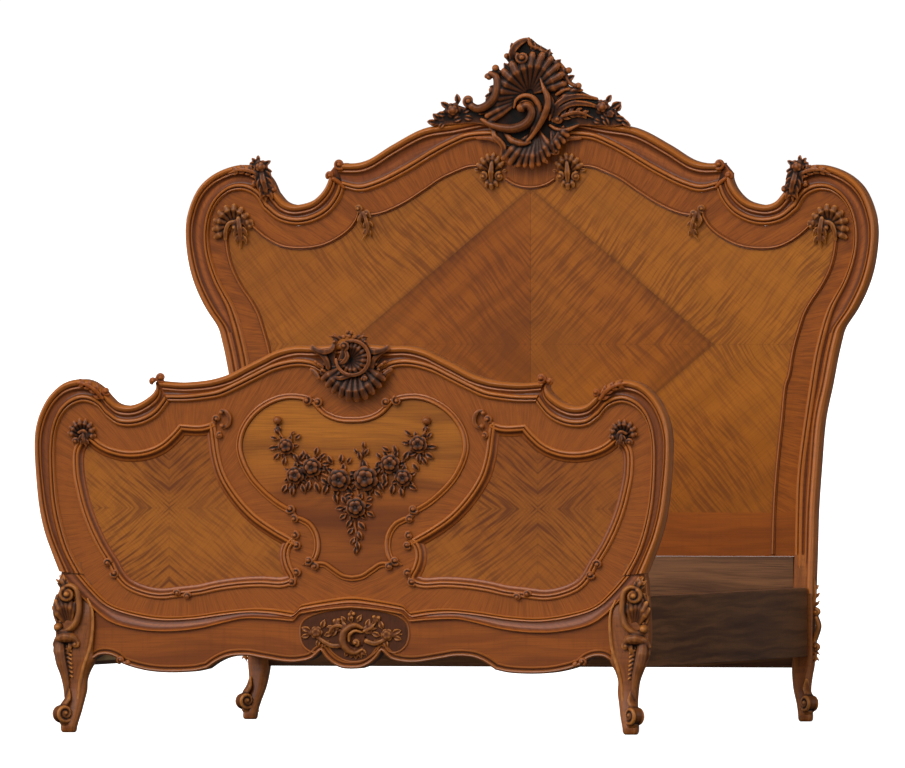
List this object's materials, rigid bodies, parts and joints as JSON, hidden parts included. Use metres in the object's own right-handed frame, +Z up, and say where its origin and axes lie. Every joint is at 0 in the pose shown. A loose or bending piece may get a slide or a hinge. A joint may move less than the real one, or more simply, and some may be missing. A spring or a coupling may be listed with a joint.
{
  "type": "bed",
  "caption": "Carved walnut double bed: tall shaped headboard, lower shaped footboard, hooked side rails and loose cross slats for a mattress.",
  "frame": {"origin": "centre of the bed's bounding box, at floor height", "axes": "+Z up, +Y from the footboard to the headboard, +X to the right of someone facing the bed from its foot"},
  "size_m": [1.8576, 2.08, 1.7888],
  "materials": {
    "walnut_frame": "polished walnut",
    "walnut_veneer": "polished quartered veneer",
    "walnut_carving": "dark waxed carving",
    "oak_board": "dark stained oak",
    "beech_slats": "raw beech",
    "steel_fittings": "aged steel"
  },
  "bodies": {
    "bedstead": {"foot_apron": "walnut_frame", "foot_apron_carving": "walnut_carving", "foot_board": "walnut_frame", "foot_cartouche": "walnut_frame", "foot_crest": "walnut_carving", "foot_garland": "walnut_carving", "foot_lower_moulding": "walnut_frame", "foot_panel_bead_left": "walnut_frame", "foot_panel_bead_right": "walnut_frame", "foot_pin_left_lower": "steel_fittings", "foot_pin_left_upper": "steel_fittings", "foot_pin_right_lower": "steel_fittings", "foot_pin_right_upper": "steel_fittings", "foot_post_left": "walnut_frame", "foot_post_right": "walnut_frame", "foot_shell_left": "walnut_carving", "foot_shell_right": "walnut_carving", "foot_shoulder_left": "walnut_frame", "foot_shoulder_right": "walnut_frame", "foot_sunk_panel_left": "walnut_veneer", "foot_sunk_panel_right": "walnut_veneer", "foot_top_rail": "walnut_frame", "head_bead_centre": "walnut_frame", "head_bead_left": "walnut_frame", "head_bead_right": "walnut_frame", "head_bottom_rail": "oak_board", "head_crest": "walnut_carving", "head_lower_band": "walnut_veneer", "head_panel": "walnut_veneer", "head_pin_left_lower": "steel_fittings", "head_pin_left_upper": "steel_fittings", "head_pin_right_lower": "steel_fittings", "head_pin_right_upper": "steel_fittings", "head_post_left": "walnut_frame", "head_post_right": "walnut_frame", "head_rosette_left": "walnut_carving", "head_rosette_right": "walnut_carving", "head_shell_left": "walnut_carving", "head_shell_right": "walnut_carving", "head_shoulder_left": "walnut_frame", "head_shoulder_right": "walnut_frame", "head_top_rail": "walnut_frame", "hook_plate_foot_left": "steel_fittings", "hook_plate_foot_right": "steel_fittings", "hook_plate_head_left": "steel_fittings", "hook_plate_head_right": "steel_fittings", "ledger_left": "beech_slats", "ledger_right": "beech_slats", "rail_left": "walnut_frame", "rail_right": "walnut_frame"},
    "slat_01_body": {"slat_01": "beech_slats"},
    "slat_02_body": {"slat_02": "beech_slats"},
    "slat_03_body": {"slat_03": "beech_slats"},
    "slat_04_body": {"slat_04": "beech_slats"},
    "slat_05_body": {"slat_05": "beech_slats"},
    "slat_06_body": {"slat_06": "beech_slats"},
    "slat_07_body": {"slat_07": "beech_slats"},
    "slat_08_body": {"slat_08": "beech_slats"},
    "slat_09_body": {"slat_09": "beech_slats"},
    "slat_10_body": {"slat_10": "beech_slats"}
  },
  "joints": [
    {"name": "slat_01_lift", "type": "slide", "parent": "bedstead", "child": "slat_01_body", "axis": [0, 0, 1], "range_m": [0, 0.25]},
    {"name": "slat_02_lift", "type": "slide", "parent": "bedstead", "child": "slat_02_body", "axis": [0, 0, 1], "range_m": [0, 0.25]},
    {"name": "slat_03_lift", "type": "slide", "parent": "bedstead", "child": "slat_03_body", "axis": [0, 0, 1], "range_m": [0, 0.25]},
    {"name": "slat_04_lift", "type": "slide", "parent": "bedstead", "child": "slat_04_body", "axis": [0, 0, 1], "range_m": [0, 0.25]},
    {"name": "slat_05_lift", "type": "slide", "parent": "bedstead", "child": "slat_05_body", "axis": [0, 0, 1], "range_m": [0, 0.25]},
    {"name": "slat_06_lift", "type": "slide", "parent": "bedstead", "child": "slat_06_body", "axis": [0, 0, 1], "range_m": [0, 0.25]},
    {"name": "slat_07_lift", "type": "slide", "parent": "bedstead", "child": "slat_07_body", "axis": [0, 0, 1], "range_m": [0, 0.25]},
    {"name": "slat_08_lift", "type": "slide", "parent": "bedstead", "child": "slat_08_body", "axis": [0, 0, 1], "range_m": [0, 0.25]},
    {"name": "slat_09_lift", "type": "slide", "parent": "bedstead", "child": "slat_09_body", "axis": [0, 0, 1], "range_m": [0, 0.25]},
    {"name": "slat_10_lift", "type": "slide", "parent": "bedstead", "child": "slat_10_body", "axis": [0, 0, 1], "range_m": [0, 0.25]}
  ]
}
